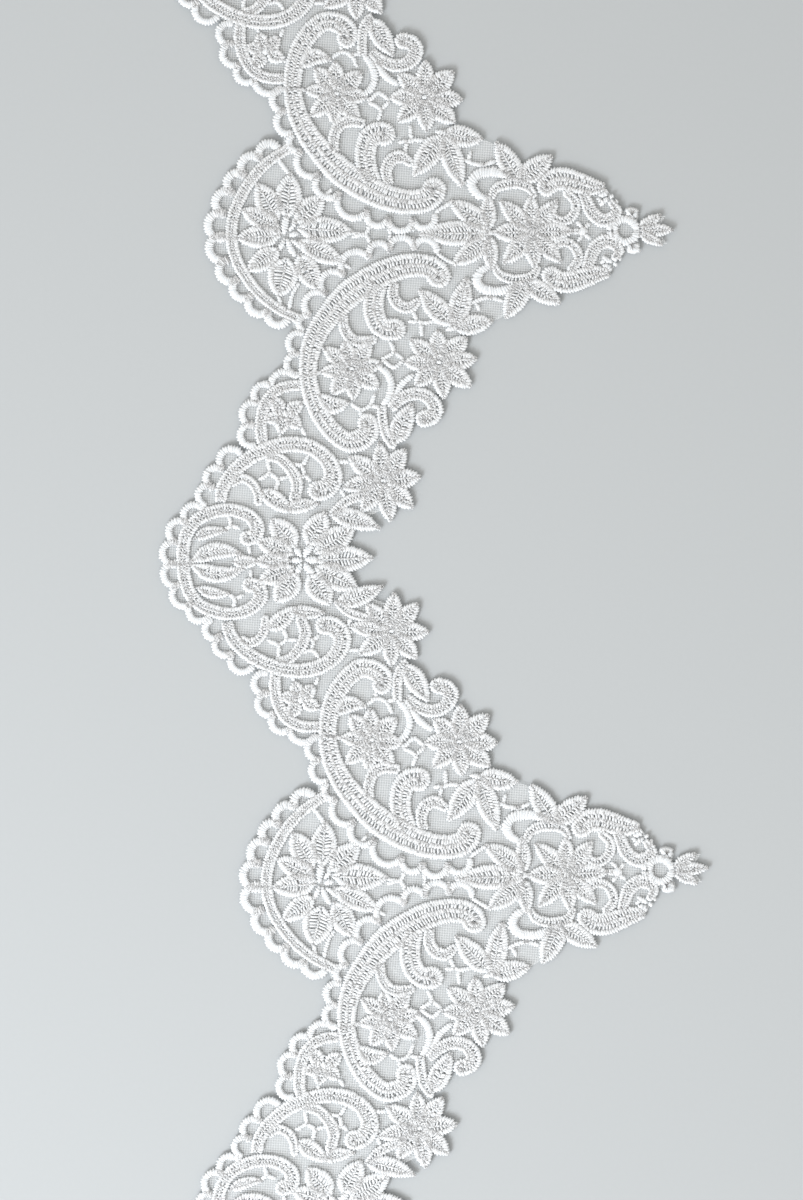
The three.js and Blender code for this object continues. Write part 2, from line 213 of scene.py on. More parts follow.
def smoothLine(points, spacing, fewest):
    # a centripetal curve through the points, cut into equal steps of about the spacing
    p = np.array(points, float)
    if len(p) == 2:
        p = np.array([p[0], (p[0] + p[1]) / 2, p[1]])
    ends = np.vstack([2 * p[0] - p[1], p, 2 * p[-1] - p[-2]])
    rows = []
    for a, b, c, d in zip(ends, ends[1:], ends[2:], ends[3:]):
        gaps = [np.linalg.norm(q[:2] - o[:2]) for o, q in ((a, b), (b, c), (c, d))]
        k0, k1, k2, k3 = np.cumsum([0] + [max(gap, tiny) ** 0.5 for gap in gaps])
        t = np.linspace(k1, k2, curveSteps + 1)[:-1, None]
        a1 = a * (k1 - t) / (k1 - k0) + b * (t - k0) / (k1 - k0)
        a2 = b * (k2 - t) / (k2 - k1) + c * (t - k1) / (k2 - k1)
        a3 = c * (k3 - t) / (k3 - k2) + d * (t - k2) / (k3 - k2)
        b1 = a1 * (k2 - t) / (k2 - k0) + a2 * (t - k0) / (k2 - k0)
        b2 = a2 * (k3 - t) / (k3 - k1) + a3 * (t - k1) / (k3 - k1)
        rows.append(b1 * (k2 - t) / (k2 - k1) + b2 * (t - k1) / (k2 - k1))
    fine = np.vstack(rows + [p[-1:]])
    run = runAlong(fine[:, :2])
    steps = max(fewest, int(round(run[-1] / spacing)))
    at = np.linspace(0, run[-1], steps + 1)
    smooth = np.stack([np.interp(at, run, fine[:, k]) for k in range(fine.shape[1])], axis=1)
    return smooth, run[-1]


def leftOf(line):
    ahead = np.gradient(line, axis=0)
    ahead /= np.maximum(np.linalg.norm(ahead, axis=1, keepdims=True), tiny)
    return ahead, np.stack([-ahead[:, 1], ahead[:, 0]], axis=1)


def offsetLine(line, away):
    return line[:, :2] + leftOf(line[:, :2])[1] * away[:, None]


def alongLine(line, away, at):
    side = offsetLine(line, away)
    steps = np.arange(len(line))
    return np.stack([np.interp(at, steps, side[:, k]) for k in (0, 1)], axis=1)


def cornersOf(sides):
    return 2 * np.pi * (np.arange(sides) + 0.5) / sides - np.pi / 2


def tubeFaces(rings, sides):
    # quads all round, and both ends closed with quads
    i = np.arange(rings - 1)[:, None] * sides
    k = np.arange(sides)[None, :]
    n = (k + 1) % sides
    walls = np.stack([i + k, i + n, i + sides + n, i + sides + k], axis=-1).reshape(-1, 4)
    fans = np.array([[0, j, j + 1, j + 2] for j in range(1, sides - 1, 2)])
    return np.vstack([walls, fans[:, ::-1], fans + (rings - 1) * sides])


def addTube(cloth, line, wide, low, top, slant, sway):
    # a closed tube along the line: wide is its half width, low and top its lowest and highest level,
    # sway moves each ring sideways
    sides = thread["sides"]
    ahead, left = leftOf(line)
    turn = cornersOf(sides)
    square = np.sign(np.cos(turn)) * np.abs(np.cos(turn)) ** thread["squareness"]
    lateral = wide[:, None] * square[None, :] + sway[:, None]
    across = left[:, None, :] * lateral[..., None]
    aslant = ahead[:, None, :] * (slant * lateral)[..., None]
    flat = line[:, None, :] + across + aslant
    middle = low + (top - low) * thread["waist"]
    rise = np.sin(turn)[None, :]
    above = rise * (top - middle)[:, None]
    below = rise * (middle - low)[:, None]
    level = middle[:, None] + np.where(rise > 0, above, below)
    points = np.dstack([flat, level]).reshape(-1, 3)
    around = np.arange(sides)[None, :] / sides
    strands = np.stack(np.broadcast_arrays(runAlong(line)[:, None], around), axis=-1).reshape(-1, 2)
    addPart(cloth, points, tubeFaces(len(line), sides), strands)


def addSatin(cloth, points, top, width=None, slant=thread["slant"], pitch=thread["pitch"]):
    # a dense cord: each stitch is a crease and a rounded back
    perStitch, wobble = thread["ringsPerStitch"], thread["wobble"]
    line, length = smoothLine(points, pitch / perStitch, thread["fewestRings"])
    wide = line[:, 2] / 2 if width is None else np.full(len(line), width / 2)
    line = line[:, :2]
    n = len(line)
    crease = np.where(np.arange(n) % perStitch == 0, 1.0, 0.0)
    sway = random.normal(0, wobble, n)
    groove = np.minimum(thread["groove"], wide * thread["grooveShare"])
    wide = wide + thread["swell"] - crease * groove + random.normal(0, wobble, n)
    tall = (top - thread["base"]) * (1 - crease * thread["crease"]) + random.normal(0, wobble, n)
    fromEnd = np.minimum(np.arange(n), np.arange(n)[::-1]) / perStitch
    rounded = np.sqrt(np.clip(thread["endStart"] + fromEnd * thread["endGrowth"], 0, 1))
    low = np.full(n, thread["base"])
    wide = np.maximum(wide * rounded, thread["narrowest"])
    addTube(cloth, line, wide, low, low + tall * rounded, slant, sway)


def addBars(cloth, starts, ends):
    # short single threads, many at once
    count = len(starts)
    radius = bar["radius"] * (1 + random.normal(0, bar["unevenRadius"], count))
    top = bar["top"] + random.normal(0, bar["unevenTop"], count)
    sides, rings = bar["sides"], bar["rings"]
    run = ends - starts
    ahead = run / np.maximum(np.linalg.norm(run, axis=1, keepdims=True), tiny)
    left = np.stack([-ahead[:, 1], ahead[:, 0]], axis=1)
    turn = cornersOf(sides)
    share = np.linspace(0, 1, rings)
    centre = starts[:, None, :] + run[:, None, :] * share[None, :, None]
    lateral = (radius[:, None] * np.cos(turn))[:, None, :, None]
    flat = centre[:, :, None, :] + left[:, None, None, :] * lateral * bar["swell"]
    arch = -bar["sag"] * (2 * share - 1) ** 2
    rise = (radius[:, None] * np.sin(turn))[:, None, :]
    level = (top - radius)[:, None, None] + arch[None, :, None] + rise * bar["swell"]
    points = np.concatenate([flat, level[..., None]], axis=-1).reshape(-1, 3)
    firsts = (np.arange(count) * sides * rings)[:, None, None]
    faces = (tubeFaces(rings, sides)[None] + firsts).reshape(-1, 4)
    around = np.broadcast_to(np.arange(sides) / sides, (count, rings, sides))
    along = np.broadcast_to(share[None, :, None], around.shape)
    addPart(cloth, points, faces, np.stack([around, along], axis=-1).reshape(-1, 2))


def addRail(cloth, points):
    # a band of satin rims with open rows of single threads between them, and a rib if it is wide;
    # its last end is closed with a round turn
    line, length = smoothLine(points, rail["spacing"], rail["fewestRings"])
    width = line[:, 2] * thread["fullness"]
    rim = rail["rim"] + rail["rimGrowth"] * width
    reach = width / 2 - rim / 2
    turn = np.linspace(0, np.pi, rail["endPoints"] + 2)[1:-1, None]
    ahead, left = leftOf(line[:, :2])
    end = line[-1, :2] + reach[-1] * (left[-1] * np.cos(turn) + ahead[-1] * np.sin(turn))
    outline = np.vstack([offsetLine(line, reach), end, offsetLine(line, -reach)[::-1]])
    rims = np.concatenate([rim, np.full(len(end), rim[-1]), rim[::-1]])
    addSatin(cloth, np.column_stack([outline, rims]), thread["rimTop"])
    broad = width.max() >= rail["broad"]
    if broad:
        rib = np.clip(rail["ribGrowth"] * width - rail["ribLess"], rail["thinnestRib"], None)
        addSatin(cloth, np.column_stack([line[:, :2], rib]), thread["ribTop"])
    count = max(bar["fewest"], int(length / bar["pitch"]))
    at = (np.arange(count) + 0.5) / count * (len(line) - 1)
    at = at + random.normal(0, rail["uneven"], count)
    lean = rail["lean"] * (len(line) - 1) / length
    for inner, outer in ((0, 1), (0, -1)) if broad else ((1, -1),):
        starts = alongLine(line[:, :2], reach * inner, at)
        ends = alongLine(line[:, :2], reach * outer, at + lean)
        addBars(cloth, starts, ends)
    if reach[-1] > rail["openEnd"]:
        fan = np.linspace(0, np.pi, int(reach[-1] * rail["spokes"]))[:, None]
        spokes = left[-1] * np.cos(fan) + ahead[-1] * np.sin(fan)
        addBars(cloth, line[-1, :2] + spokes * rail["hub"], line[-1, :2] + spokes * reach[-1])


def addLeaf(cloth, u0, v0, u1, v1, width, bow=0.0):
    # from its foot to its tip; a bow bends it to its left
    foot, tip = np.array([u0, v0], float), np.array([u1, v1], float)
    length = np.linalg.norm(tip - foot)
    ahead = (tip - foot) / length
    side = np.array([-ahead[1], ahead[0]])
    width = width * leaf["fullness"]
    rim = min(leaf["rimGrowth"] * width + leaf["rim"], leaf["widestRim"])

    def place(t, away=0.0):
        bent = away + 4 * bow * t * (1 - t)
        return foot + np.outer(t * length, ahead) + np.outer(bent, side)

    t = np.linspace(leaf["start"], 1, leaf["points"])
    reach = width / 2 * np.interp(t, leaf["stations"], leaf["widths"]) - rim / 2
    reach = np.maximum(reach, leaf["thinnest"])
    nearTip = np.maximum(t - leaf["tipFrom"], 0) / (1 - leaf["tipFrom"])
    nearFoot = np.maximum(leaf["footTo"] - t, 0) / leaf["footTo"]
    rims = rim * (1 - leaf["taper"] * nearTip - leaf["taper"] * nearFoot)
    for sign in (1, -1):
        edge = np.column_stack([place(t, sign * reach), rims])
        addSatin(cloth, edge, thread["rimTop"], slant=sign * thread["slant"])
    if width < leaf["open"]:
        filling = max(leaf["closedLeast"], width - 2 * rim + leaf["closedOverlap"])
        addSatin(cloth, place(np.linspace(*leaf["closedRib"])), thread["ribTop"], width=filling)
        return
    addSatin(cloth, place(np.linspace(*leaf["rib"])), thread["ribTop"], width=leaf["ribWidth"])
    count = max(bar["fewest"], int(length * leaf["barsOver"] / bar["pitch"]))
    at = leaf["barsFrom"] + leaf["barsOver"] * (np.arange(count) + 0.5) / count
    at = at + random.normal(0, leaf["uneven"], count)
    onward = np.clip(at + leaf["onward"], 0, leaf["lastBar"])
    far = np.interp(onward, t, reach)
    for sign in (1, -1):
        addBars(cloth, place(at), place(onward, sign * far))


def addPicot(cloth, footA, footB, reach, width):
    # an arc of cord from foot to foot
    a, b = np.array(footA, float), np.array(footB, float)
    chord = np.linalg.norm(b - a)
    radius = (chord * chord / 4 + reach * reach) / (2 * reach)
    out = np.array([b[1] - a[1], a[0] - b[0]]) / chord
    centre = (a + b) / 2 + out * (reach - radius)
    start = math.atan2(a[1] - centre[1], a[0] - centre[0])
    span = 2 * math.atan2(chord / 2, radius - reach)
    turn = start + span * np.linspace(0, 1, picot["points"])
    arc = np.stack([centre[0] + radius * np.cos(turn), centre[1] + radius * np.sin(turn)], axis=1)
    addSatin(cloth, arc, picot["top"], width=width, slant=picot["slant"], pitch=picot["pitch"])


def work(cloth, piece, onAxis):
    # stitches the marks of one charted piece; marks that cross the mirror line are worked once
    for points in piece.get("rails", []):
        addRail(cloth, points)
    for points in piece.get("cords", []):
        full = [(u, v, width * thread["fullness"]) for u, v, width in points]
        addSatin(cloth, full, thread["rimTop"])
    for mark in piece.get("leaves", []):
        addLeaf(cloth, *mark)
    for feet in piece.get("picots", []):
        for foot, following in zip(feet, feet[1:]):
            addPicot(cloth, foot[:2], following[:2], foot[2], piece.get("picotWidth", picot["width"]))
    for points in piece.get("bridges", []):
        addSatin(cloth, points, thread["bridgeTop"], width=thread["bridge"])
    if onAxis:
        work(cloth, piece.get("onAxis", {}), False)


# The chart, in millimetres. Rails and cords are lines of across, along and width; leaves go from foot to
# tip, then their width and bow; picots go from foot to foot, with each arc's reach; bridges are thin cords.

medallionRing = {
    "rails": [
        [(3.1, -0.7, 2.8), (3.4, 3, 2.8), (4.3, 6.3, 2.8), (6, 9.8, 2.8), (8.7, 13.8, 2.7),
         (12.5, 17.6, 2.6), (15.4, 19.6, 2.5), (18.4, 21.3, 2.4)],
    ],
    "picotWidth": 2.4,
    "picots": [
        [(16.2, 21, 3), (11.6, 18.6, 3.4), (7.7, 14.5, 3.6), (4.6, 10.4, 4), (2.4, 5.5, 4.8),
         (2.1, 0, 0)],
    ],
}

medallionFlower = {
    "leaves": [
        (15, 0.2, 4.4, -0.4, 5.2), (15, 2, 6, 6.8, 4.8), (14.9, 4.4, 10.2, 13.1, 5.6),
        (17.4, 5, 18.7, 15.4, 6), (19.6, 3.6, 26.9, 9.6, 5.4), (20.4, 1.8, 33.7, 0.8, 6),
        (20.2, -1.4, 31, -7.2, 5), (20, -5, 23.9, -14, 5.4), (16.6, -6, 14, -15.4, 6.8),
        (14.6, -3.4, 6.6, -8.7, 4.8),
    ],
    "cords": [
        [(17, -0.6, 0.9), (17.6, -2.6, 1.6), (18.8, -5.2, 1.2)],
        [(17.6, 0.2, 1.1), (18.6, 0.4, 1.5), (20, 0.5, 1.1)],
        [(16.2, 0.4, 1.1), (16.6, 2.6, 1.9), (17.4, 5.2, 1.6)],
        [(16.4, -0.4, 1), (15.6, -2.2, 1.4), (14.8, -3.6, 1.1)],
        [(17.6, 1.4, 1), (18.8, 2.6, 1.3), (19.2, 4.4, 1.2)],
        [(15.8, 0.4, 1), (14.4, 1.4, 1.3), (12.8, 2.6, 1.1)],
        [(17.8, -1, 0.9), (19.2, -1.8, 1.3), (20.6, -3.4, 1)],
        [(15.2, 2.4, 1), (13.6, 3.6, 1.2)],
    ],
    "bridges": [
        [(18.7, 14.6), (16.8, 17.4), (15.4, 19.4)],
        [(10.4, 12.6), (8.6, 14.4)],
        [(23.7, -13.2), (25.8, -15.8)],
        [(14.1, -14.8), (14.5, -18.8)],
        [(26.4, 9), (29, 11.6)],
        [(30.4, -7), (32.4, -8.6)],
        [(19.6, -12), (18, -14), (16.4, -19)],
    ],
}

pointFlower = {
    "leaves": [
        (78, 0.6, 70.6, 8, 4.4), (78.3, 0.5, 78.5, 9.5, 4), (78.6, 0.5, 85.2, 8, 4.2),
        (67.5, 1.2, 58, 8.1, 4.8, -0.2), (67.6, 1, 67.6, 9.9, 3.6),
    ],
    "onAxis": {
        "leaves": [
            (77.4, 0, 68.4, 0, 4.6), (79, 0, 88.8, 0, 4.4), (66.6, 0, 50.2, 0, 5.6),
        ],
        "cords": [
            [(76.9, 0, 1.6), (78.4, 0, 2.6), (79.9, 0, 1.6)],
            [(66.6, 0, 1), (67.6, 0, 1.8), (68.6, 0, 1)],
            [(89.6, 0, 1.2), (90.9, 0, 2.6), (92.2, 0, 1.2)],
        ],
    },
    "bridges": [
        [(91, 0.6), (93, 2)],
        [(88.6, 0.4), (90.4, 0.2)],
        [(89.6, 2.6), (91, 0.8)],
    ],
}

pointTip = {
    "leaves": [
        (105.2, 0.9, 110.8, 4, 2.6, -0.2),
    ],
    "cords": [
        [(98.9, 0, 1.9), (99.5, 1.9, 1.9), (101.6, 2.9, 2), (103.8, 1.9, 2), (104.6, 0, 2)],
        [(102.6, 3.2, 1.5), (103.3, 4.4, 3.4), (104.3, 3.2, 1.7)],
        [(96.9, 0.7, 1.5), (98.9, 1.1, 1.8)],
    ],
    "onAxis": {
        "leaves": [
            (105.6, 0, 113.8, 0, 3),
        ],
    },
}

pointSide = {
    "rails": [
        [(68.4, 8.4, 1.7), (69.6, 10.7, 2.2), (72.4, 12, 2.6), (75.4, 12.1, 2.6), (78, 11.1, 2.2),
         (79.2, 9.3, 1.7)],
        [(97.2, 11, 1.8), (94.4, 11, 3.8), (91, 11.9, 4.8), (87.4, 13, 5.2), (84.2, 12.8, 5.2),
         (82.6, 11.4, 4.8)],
        [(83.2, 5.6, 1.8), (84.5, 3.2, 2.1), (87, 2.8, 2.3), (89.2, 4.8, 2.4), (89.5, 7.4, 2.3),
         (87.6, 9.6, 2.1)],
        [(91.4, 10, 2.4), (92.4, 7.2, 3), (93.6, 4.6, 3.3), (96.2, 2.7, 3.4), (98.8, 3.4, 3.1),
         (99.7, 5.3, 2.4), (98.6, 6.9, 1.8)],
    ],
    "cords": [
        [(66.9, 8.6, 1.8), (64.9, 9.9, 2.2), (63.9, 12.3, 2.5), (65.4, 14.4, 2.5), (68.5, 15.1, 2.5),
         (71.6, 14.6, 2.3), (74.5, 13, 2)],
        [(95.6, 6.4, 1.1), (96.6, 7.4, 1.3), (98, 8, 1.2)],
        [(98.2, 8.3, 1.3), (99.2, 8.9, 1)],
        [(95.4, 9, 1.1), (96.8, 9.2, 1.3), (97.6, 10.3, 1.5)],
        [(99.2, 6.8, 1.2), (100.2, 7.6, 1)],
    ],
    "leaves": [
        (76, 12.6, 70.4, 22.4, 5), (76, 12.8, 84.4, 18.8, 4.8),
    ],
    "bridges": [
        [(62, 18.2), (64.4, 17.2), (67, 16.8), (70.2, 17.8)],
        [(63.2, 18), (64.2, 20.2)],
        [(66, 17), (67, 16.6), (68, 17.1)],
        [(95, 8.4), (96.4, 7.2)],
    ],
}

scroll = {
    "rails": [
        [(20.2, 36.5, 4.1), (20.9, 31, 4.6), (22.1, 27.5, 4.9), (23.8, 24.2, 5.2), (26.2, 21, 5.6),
         (29, 17.8, 6.1), (32, 15, 6.5), (34.8, 13.1, 6.5), (38, 11.2, 6.4), (42, 9.3, 6.1),
         (46, 8.2, 5.8), (49.6, 8, 5.6), (52.4, 8.6, 5.6), (54, 10, 5.7), (54.4, 10.9, 5.7)],
        [(20.2, 35.5, 4.1), (20.7, 39.5, 4.3), (21.7, 43.3, 4.4), (23.4, 47, 4.5), (26.2, 50.6, 4.6),
         (29.5, 52.8, 4.7), (33, 52.2, 4.9), (34.8, 50.3, 4.9), (34.6, 48.4, 4.7)],
        [(39.4, 12.6, 4.2), (37.9, 16.5, 4.8), (37.7, 20, 5), (38.8, 23.4, 5), (40.8, 24.7, 5.2),
         (42.6, 24.6, 5.4)],
        [(43.2, 12.2, 2.4), (42.7, 15.6, 2.8), (44, 18.2, 3), (46.6, 19, 2.9), (48.6, 17.6, 2.2)],
        [(30, 20, 2.3), (30, 23.6, 2.6), (31.4, 26.6, 2.8), (34, 27.7, 2.8), (37, 27.3, 2.3)],
    ],
    "picots": [
        [(18.4, 35.8, 3.4), (18.7, 30.5, 3.4), (19.9, 25.2, 0)],
        [(20, 24.6, 2.2), (21.9, 20.8, 3.7), (26.3, 15.4, 4.1), (31, 10.8, 4.4), (37.6, 6.3, 3.3),
         (42.6, 4.6, 3.6), (48.6, 4.2, 3.2), (54.2, 5, 0)],
    ],
    "bridges": [
        [(33.2, 0.6), (36.6, 0.2), (38.2, 3.4)],
        [(42.8, 0), (42.6, 4.4)],
        [(48.6, 0.6), (48.6, 4.2)],
        [(54.2, 5), (56.4, 6.6), (58.6, 7.8)],
        [(60.2, 12), (62.6, 12.6)],
        [(47.4, 19.6), (48, 22.5), (46, 22.6)],
        [(48, 22.5), (50, 23), (52.6, 22.8)],
        [(49.3, 23), (49.3, 26.6)],
        [(41.2, 27.8), (42, 30.4), (39, 32.4)],
        [(42, 30.4), (44.5, 32.5)],
        [(39, 32.4), (42, 34.5), (44.5, 32.5)],
    ],
}

firstFlower = {
    "cords": [
        [(30.6, 34.6, 0.9), (31.4, 34.6, 1.1), (32.2, 34.6, 0.9)],
    ],
    "leaves": [
        (31.2, 33.7, 30, 27.2, 3.9), (32, 33.8, 36.6, 27.7, 4), (32.4, 34.6, 39.1, 33.4, 3.8),
        (32.2, 35.3, 38, 39.8, 4.3), (31.4, 35.6, 31.4, 42.7, 3.9), (30.8, 35.2, 26, 41.1, 4.3),
        (30.5, 34.7, 23.3, 35.4, 3.6), (30.8, 34, 24.4, 29, 4), (22.6, 41.2, 30.6, 42.7, 3.9, 1.9),
    ],
    "bridges": [
        [(30.6, 43.4), (33, 44.9), (35.4, 44), (36.8, 41)],
        [(33, 44.9), (33, 46.8)],
        [(35.4, 44), (38, 44.6)],
        [(23.6, 35.4), (21.6, 35.6)],
        [(24.8, 29.4), (22.4, 28.2)],
        [(30, 27.6), (30.8, 26)],
        [(38.8, 33.4), (39.4, 32.6)],
    ],
}

secondFlower = {
    "leaves": [
        (54.4, 33.3, 62.8, 32.7, 4.5), (54.1, 32.6, 60.6, 27, 4.7), (53.3, 32.3, 53.3, 24.9, 4.2),
        (52.5, 32.6, 46.2, 27.4, 4.3), (52.2, 33.4, 44.4, 33.4, 4.2), (52.5, 34.2, 46.9, 39.4, 4.3),
        (53.4, 34.5, 54, 42.8, 4.2), (54.1, 34.2, 60.9, 39.9, 4.7),
    ],
    "cords": [
        [(52.5, 33.4, 0.9), (53.3, 33.4, 1.1), (54.1, 33.4, 0.9)],
    ],
}

thirdFlower = {
    "cords": [
        [(37, 62.3, 0.9), (37.8, 62.3, 1.1), (38.6, 62.3, 0.9)],
    ],
    "rails": [
        [(34.6, 65.4, 1.8), (30, 66.4, 2.3), (27, 67.9, 2.3), (25, 69.8, 2)],
    ],
    "leaves": [
        (37.7, 61.2, 37.2, 53, 4), (38.5, 61.5, 43.7, 54.8, 4.5), (38.9, 62.2, 47.2, 61.7, 4.4),
        (38.6, 63.1, 44.8, 69.3, 4.4), (37.9, 63.4, 39, 72.4, 4.3), (37, 63.1, 31.9, 69.7, 4.3),
        (36.7, 62.4, 27.2, 63.9, 4.1), (36.9, 61.5, 29.3, 56.3, 4.5),
        (24.4, 70.2, 36.4, 74.1, 4.4, -0.5),
    ],
    "bridges": [
        [(28, 66.4), (27, 64)],
    ],
}

sprig = {
    "leaves": [
        (57, 23.8, 49.3, 14.3, 5.2), (57.8, 23.8, 61.4, 11.4, 5), (58, 24.9, 67.4, 23, 4.6, -0.3),
    ],
    "cords": [
        [(55.4, 25.2, 0.9), (57.4, 24.6, 1.6), (59.4, 24.6, 0.9)],
    ],
}

bud = {
    "cords": [
        [(37.2, 33.8, 1.3), (39.7, 35.5, 1.8), (41, 38.4, 1.9), (40.4, 41.6, 1.9), (38.6, 44.2, 1.6)],
        [(46.8, 36.4, 1.4), (43.6, 38.9, 1.8), (41.2, 42.6, 1.6)],
    ],
    "rails": [
        [(38.3, 43.8, 2.2), (38.4, 48, 2.4), (39.1, 51.4, 2.4), (40.5, 53.8, 1.9)],
        [(40.4, 45, 2.4), (43, 42.7, 2.9), (46, 41.4, 3.1), (49.2, 41.8, 3.2), (51.2, 43.6, 3.5),
         (51.6, 45.7, 3.8), (50.4, 47.2, 3.9), (48.6, 47.6, 3.9)],
    ],
    "leaves": [
        (40.8, 53.4, 46, 43.6, 4.8),
    ],
}

picotArch = {
    "rails": [
        [(18.6, 38.4, 2.6), (14.5, 38.7, 2.7), (11.4, 40.1, 2.8), (9.2, 42.9, 2.9), (8.1, 46.5, 2.9),
         (7.9, 50.2, 2.9), (8.3, 52.4, 2.6)],
    ],
    "picots": [
        [(6.5, 52.6, 3.9), (6.7, 47.9, 3.9), (7.8, 42.6, 2.9), (11, 38.5, 2.7), (17.6, 36.6, 0)],
    ],
    "leaves": [
        (13.6, 44.6, 10.8, 41.3, 3.4), (14.8, 45, 18.7, 42.9, 3.3), (13.4, 45.7, 9.2, 46.8, 3.1),
        (13.9, 46.1, 12.6, 50.2, 3.3), (14.8, 46, 17.8, 49, 3.3),
    ],
    "cords": [
        [(13.2, 45.4, 1.2), (14.2, 45.4, 2.1), (15.2, 45.4, 1.2)],
    ],
    "bridges": [
        [(18.4, 42.9), (19.4, 42.6)],
        [(12.6, 50.2), (12.4, 51.6)],
        [(17.9, 49), (19, 51)],
    ],
}

outerScroll = {
    "rails": [
        [(-3.2, 66.4, 2.8), (-2.5, 63, 3.1), (-0.7, 60.2, 3.3), (2.2, 57.5, 3.4), (6.1, 55.1, 3.5),
         (10.5, 53.5, 3.6), (15, 52.9, 3.6), (19.5, 53.7, 3.7), (23, 55.9, 3.8), (25, 58.9, 4.2),
         (25.1, 61.8, 4.6), (23.3, 64, 4.7), (21.2, 64.4, 4.6)],
        [(-0.4, 62, 2), (2.4, 60.7, 2.3), (4.9, 61.9, 2.3), (6.2, 64.3, 2.3), (6.3, 66.6, 2)],
        [(8.6, 55.6, 2), (12, 56.2, 2.6), (14, 58, 2.7), (15.6, 60.4, 2.9), (16.2, 63, 2.9),
         (15.4, 66, 2.7)],
    ],
    "leaves": [
        (7, 64, 14.6, 69.6, 4, -0.3), (13, 68.6, 21.6, 67.6, 3.2, -0.3),
    ],
    "picots": [
        [(-6.6, 67, 3.3), (-4.4, 63, 3.5), (-1.9, 58.7, 3.6), (2.8, 55, 0)],
    ],
    "bridges": [
        [(9, 56.4), (9.3, 59.6), (6.6, 61.2)],
        [(9.3, 59.6), (11.4, 61.4), (10.6, 64.2)],
        [(11.4, 61.4), (14.4, 60.6)],
        [(15.2, 57.6), (17.6, 58), (19.4, 55.8)],
        [(17.6, 58), (18, 60.4), (16.4, 61.4)],
        [(18, 60.4), (19.8, 62)],
        [(26.6, 57.6), (29.6, 57.6)],
        [(26.8, 62), (28, 62.6)],
    ],
}

fan = {
    "rails": [
        [(-13.3, 82, 3.1), (-13.2, 78, 3.1), (-12.1, 74, 3.1), (-9.6, 70.8, 3.1), (-6.4, 69.1, 3.1),
         (-2.6, 68.3, 3.1), (1, 68.7, 3.1), (4.1, 70.2, 3.3), (5.6, 72.6, 3.6), (4.9, 74.9, 3.7),
         (3, 75.4, 3.6)],
    ],
    "leaves": [
        (-10.2, 75.2, -1.8, 73.4, 2.7, -0.7), (-11.2, 80.8, 2, 79.8, 3.9, -2),
    ],
    "picots": [
        [(-14.6, 81.3, 4), (-14.1, 76.2, 3.9), (-11.4, 71.7, 3.5), (-7.4, 68.5, 0)],
    ],
    "bridges": [
        [(-1.4, 69.6), (-1, 72), (-2.4, 73.2)],
        [(-1, 72), (1.4, 73)],
        [(3.2, 77.2), (3.6, 79.4)],
    ],
    "onAxis": {
        "leaves": [
            (-0.8, 81.25, 5.6, 81.25, 3.2),
        ],
    },
}

valleyFlower = {
    "leaves": [
        (14, 79.4, 5.3, 76.2, 4.8), (14.9, 77.6, 9.2, 70.8, 5.6), (18.2, 77.4, 22.9, 69.6, 5.6),
        (20.2, 79.2, 29.9, 73.6, 5.8),
    ],
    "cords": [
        [(17, 80.6, 1), (17.9, 79, 1.9), (19.4, 77.4, 1.2)],
        [(16.4, 80.4, 1), (15.6, 79.2, 1.7), (14.6, 78, 1)],
    ],
    "onAxis": {
        "leaves": [
            (20.6, 81.25, 34.2, 81.25, 6), (13.4, 81.25, 4.4, 81.25, 4),
        ],
        "cords": [
            [(17.2, 81.25, 1.1), (18.8, 81.25, 2), (21, 81.25, 1.2)],
            [(16.6, 81.25, 1), (15.2, 81.25, 1.6), (13.6, 81.25, 1)],
        ],
    },
}

threadFinish = {
    "colour": (0.825, 0.86, 0.89, 1),
    "shade": (0.775, 0.81, 0.84, 1),
    "mottle": 620,              # how fine the two colours are mixed
    "mottleDetail": 3,
    "roughness": 0.62,
    "sheen": 0.18,
    "shine": 0.3,
    "glow": 0.75,               # light that soaks into the cotton
    "glowDepth": 0.5,           # mm
    "strandPitch": 0.16,
    "strandDepth": 0.05,
    "strandStrength": 0.5,
}

netFinish = {
    "colour": (0.85, 0.88, 0.895, 1),
    "mesh": 0.42,               # from one hole to the next, mm
    "haze": 0.14,               # the finest hairs between the threads
    "line": 0.07,               # how thick a thread is, as a share of the mesh
    "skew": 0.05,
    "waver": 0.09,              # mm
    "waverScale": 260,
    "roughness": 0.7,
}

floorFinish = {
    "colour": (0.47, 0.498, 0.514, 1),
    "shade": (0.457, 0.485, 0.5, 1),
    "grain": 900.0,
    "grainDetail": 4,
    "grainDepth": 0.1,          # mm
    "grainStrength": 0.12,
    "roughness": 0.9,
    "shine": 0.1,
}


def newMaterial(name):
    material = bpy.data.materials.new(name)
    material.use_nodes = True
    nodes, links = material.node_tree.nodes, material.node_tree.links
    return material, nodes, links, nodes["Principled BSDF"]


def addMath(nodes, links, operation, first, second=None):
    node = nodes.new("ShaderNodeMath")
    node.operation = operation
    for socket, value in zip(node.inputs, (first, second)):
        if isinstance(value, (int, float)):
            socket.default_value = value
        elif value is not None:
            links.new(value, socket)
    return node.outputs[0]


def addMottle(nodes, links, shader, finish, scale, detail):
    # two shades of one colour, mixed by a noise
    where = nodes.new("ShaderNodeTexCoord")
    noise = nodes.new("ShaderNodeTexNoise")
    noise.inputs["Scale"].default_value = scale
    noise.inputs["Detail"].default_value = detail
    links.new(where.outputs["Object"], noise.inputs["Vector"])
    mix = nodes.new("ShaderNodeMix")
    mix.data_type = "RGBA"
    mix.inputs["A"].default_value = finish["shade"]
    mix.inputs["B"].default_value = finish["colour"]
    links.new(noise.outputs["Fac"], mix.inputs["Factor"])
    links.new(mix.outputs["Result"], shader.inputs["Base Color"])
    return noise.outputs["Fac"]


